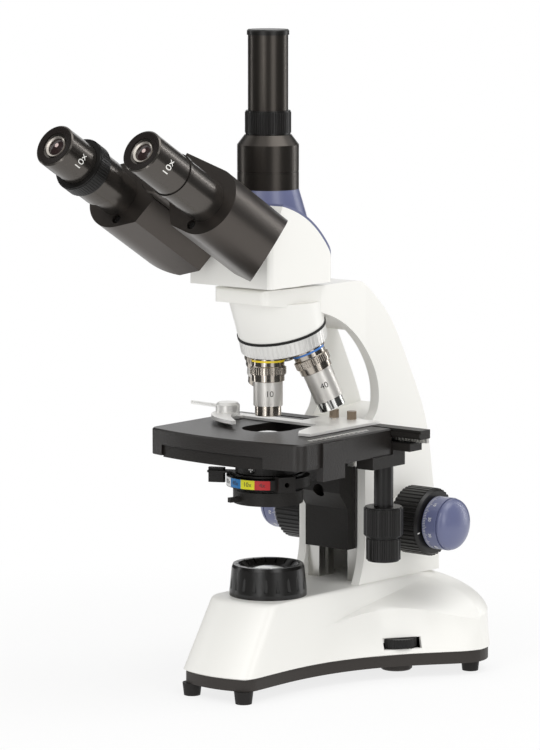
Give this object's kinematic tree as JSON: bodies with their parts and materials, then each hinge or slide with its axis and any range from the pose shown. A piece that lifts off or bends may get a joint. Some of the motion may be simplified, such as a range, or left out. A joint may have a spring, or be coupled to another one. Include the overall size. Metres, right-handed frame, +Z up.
{
  "type": "trinocular_microscope",
  "caption": "White and slate-blue trinocular compound microscope with black mechanical stage and coaxial focus knobs",
  "frame": {"origin": "Middle of the outline seen from above, on the plane the feet stand on", "axes": "+Z up, -Y towards the user at the eyepieces, +X to the user's right"},
  "size_m": [0.178, 0.335, 0.4413],
  "materials": {
    "white_casting": "smooth off-white enamel",
    "blue_trim": "satin slate blue",
    "black_casting": "fine textured black",
    "grey_pan": "dark grey moulded plastic",
    "black_plastic": "ribbed black plastic",
    "eyepiece_black": "semi-gloss black",
    "rubber_foot": "soft black rubber",
    "steel": "machined steel",
    "bright_metal": "bright nickel",
    "satin_metal": "satin nickel",
    "lens_glass": "clear coated glass"
  },
  "bodies": {
    "stand": {"base_shell": "white_casting", "base_plate": "grey_pan", "feet": "rubber_foot", "access_cap": "black_plastic", "base_screws": "steel", "lamp_housing": "black_plastic", "field_lens": "lens_glass", "led_lamp": "satin_metal", "dimmer": "black_plastic", "switch_frame": "black_plastic", "power_inlet": "black_plastic", "arm": "white_casting", "guide_rails": "steel", "focus_bushes": "steel", "nosepiece_housing": "white_casting", "stand_bolts": "steel"},
    "dial": {"brightness_dial": "black_plastic"},
    "rocker": {"switch_rocker": "black_plastic"},
    "coarse": {"coarse_shaft": "steel", "coarse_knobs": "black_plastic"},
    "fine": {"fine_focus": "blue_trim"},
    "carrier": {"stage_carrier": "black_casting", "carrier_racks": "steel", "stage_base": "black_casting", "condenser_holder": "black_casting", "condenser_body": "black_casting", "condenser_lens": "lens_glass"},
    "iris": {"iris_lever": "black_plastic"},
    "filter": {"filter_holder": "black_casting"},
    "table": {"stage_top": "black_casting", "stage_carriage": "black_casting"},
    "y_knob": {"y_drive": "black_plastic"},
    "x_knob": {"x_drive": "black_plastic"},
    "holder": {"x_rail": "black_casting", "x_rack": "steel", "slide_holder": "satin_metal", "holder_screws": "bright_metal"},
    "clip": {"clip_finger": "satin_metal"},
    "nosepiece": {"turret": "bright_metal", "objective_4x": "satin_metal", "objective_10x": "satin_metal", "objective_40x": "satin_metal", "objective_100x": "satin_metal"},
    "spring_40x": {"tip_40x": "bright_metal"},
    "spring_100x": {"tip_100x": "bright_metal"},
    "head": {"head_body": "white_casting", "head_cover": "blue_trim", "hinge_drum": "black_plastic", "photo_port": "black_casting", "photo_tube": "black_casting", "photo_cap": "black_plastic"},
    "lock_ring": {"photo_ring": "black_plastic"},
    "wing_right": {"right_wing": "black_casting", "right_tube": "black_casting", "right_eyepiece": "eyepiece_black"},
    "wing_left": {"left_wing": "black_casting", "left_tube": "black_casting", "left_eyepiece": "eyepiece_black"},
    "dioptre": {"dioptre_ring": "black_plastic"}
  },
  "joints": [
    {"name": "dial_turn", "type": "hinge", "parent": "stand", "child": "dial", "pos_m": [0.0474, 0.09116, 0.024], "axis": [0, 0, 1], "range_deg": [0, 270]},
    {"name": "rocker_tilt", "type": "hinge", "parent": "stand", "child": "rocker", "pos_m": [0.034, 0.16376, 0.031], "axis": [1, 0, 0], "range_deg": [-14, 0]},
    {"name": "stage_lift", "type": "slide", "parent": "stand", "child": "carrier", "axis": [0, 0, 1], "range_m": [-0.016, 0]},
    {"name": "coarse_turn", "type": "hinge", "parent": "stand", "child": "coarse", "pos_m": [0, 0.11426, 0.1045], "axis": [1, 0, 0], "range_deg": [0, 154]},
    {"name": "fine_turn", "type": "hinge", "parent": "stand", "child": "fine", "pos_m": [0, 0.11426, 0.1045], "axis": [1, 0, 0], "continuous": true},
    {"name": "iris_turn", "type": "hinge", "parent": "carrier", "child": "iris", "pos_m": [0, 0.00926, 0.1455], "axis": [0, 0, 1], "range_deg": [0, 95]},
    {"name": "filter_swing", "type": "hinge", "parent": "carrier", "child": "filter", "pos_m": [-0.023, 0.02246, 0.131], "axis": [0, 0, 1], "range_deg": [-70, 0]},
    {"name": "table_slide", "type": "slide", "parent": "carrier", "child": "table", "axis": [0, 1, 0], "range_m": [-0.018, 0.001]},
    {"name": "y_knob_turn", "type": "hinge", "parent": "table", "child": "y_knob", "pos_m": [0.056, 0.06326, 0.13], "axis": [0, 0, 1], "range_deg": [-210, 14]},
    {"name": "holder_slide", "type": "slide", "parent": "table", "child": "holder", "axis": [1, 0, 0], "range_m": [-0.03, 0.012]},
    {"name": "x_knob_turn", "type": "hinge", "parent": "table", "child": "x_knob", "pos_m": [0.056, 0.06326, 0.1], "axis": [0, 0, 1], "range_deg": [-158, 395]},
    {"name": "clip_swing", "type": "hinge", "parent": "holder", "child": "clip", "pos_m": [-0.049, 0.02626, 0.18], "axis": [0, 0, 1], "range_deg": [-35, 0], "stiffness_Nm_per_rad": 0.05},
    {"name": "nosepiece_turn", "type": "hinge", "parent": "stand", "child": "nosepiece", "pos_m": [0, 0.02743, 0.22826], "axis": [0, -0.2924, 0.9563], "continuous": true},
    {"name": "tip_40x_spring", "type": "slide", "parent": "nosepiece", "child": "spring_40x", "axis": [-0.2924, -0.2796, 0.9145], "range_m": [0, 0.002], "stiffness_N_per_m": 150, "springref_m": -0.001},
    {"name": "tip_100x_spring", "type": "slide", "parent": "nosepiece", "child": "spring_100x", "axis": [0, -0.5592, 0.829], "range_m": [0, 0.002], "stiffness_N_per_m": 150, "springref_m": -0.001},
    {"name": "head_turn", "type": "hinge", "parent": "stand", "child": "head", "pos_m": [0, 0.00926, 0.27], "axis": [0, 0, 1], "continuous": true},
    {"name": "lock_ring_turn", "type": "hinge", "parent": "head", "child": "lock_ring", "pos_m": [0, 0.00926, 0.38], "axis": [0, 0, 1], "range_deg": [0, 120]},
    {"name": "wing_right_turn", "type": "hinge", "parent": "head", "child": "wing_right", "pos_m": [0, -0.1554, 0.38204], "axis": [0, 0.866, -0.5], "range_deg": [-16.3, 26.5]},
    {"name": "wing_left_turn", "type": "hinge", "parent": "head", "child": "wing_left", "pos_m": [0, -0.1554, 0.38204], "axis": [0, 0.866, -0.5], "range_deg": [-26.5, 16.3]},
    {"name": "dioptre_turn", "type": "hinge", "parent": "wing_left", "child": "dioptre", "pos_m": [-0.03647, -0.16074, 0.3728], "axis": [0, 0.866, -0.5], "range_deg": [-90, 90]}
  ],
  "couplings": [
    {"joint": "coarse_turn", "follows": "stage_lift", "rad_per_m": -166.67},
    {"joint": "y_knob_turn", "follows": "table_slide", "rad_per_m": 200},
    {"joint": "x_knob_turn", "follows": "holder_slide", "rad_per_m": -227.27},
    {"joint": "wing_left_turn", "follows": "wing_right_turn", "ratio": -1}
  ]
}
